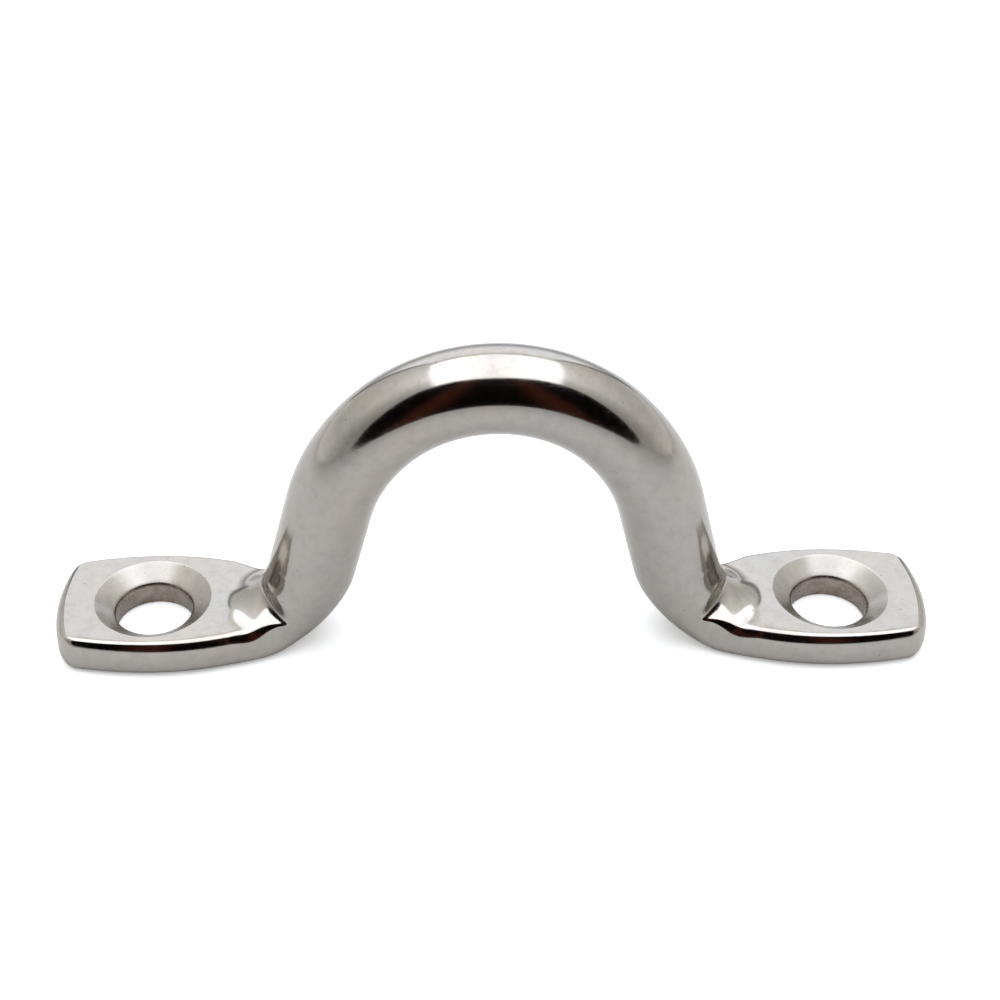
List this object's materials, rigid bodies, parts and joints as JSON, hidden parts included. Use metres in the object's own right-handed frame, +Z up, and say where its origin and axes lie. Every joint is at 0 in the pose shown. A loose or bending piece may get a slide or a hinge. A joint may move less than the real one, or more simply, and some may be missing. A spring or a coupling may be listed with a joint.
{
  "type": "pad eye",
  "caption": "Low pad eye for boat rigging: a round steel bar bent into a bow over a flared eye, its ends pressed flat into feet with countersunk screw holes.",
  "frame": {"origin": "middle of the mounting plane, halfway between the two screw holes, on the undersides of the feet", "axes": "+X from the middle towards one foot along the line of the screw holes, +Y through the eye, +Z up away from the surface it is screwed to"},
  "size_m": [0.0616, 0.0106, 0.0233],
  "materials": {
    "polished_steel": "stainless steel, tumbled to a soft mirror polish"
  },
  "bodies": {
    "root": {"pad_eye": "polished_steel"}
  },
  "joints": []
}
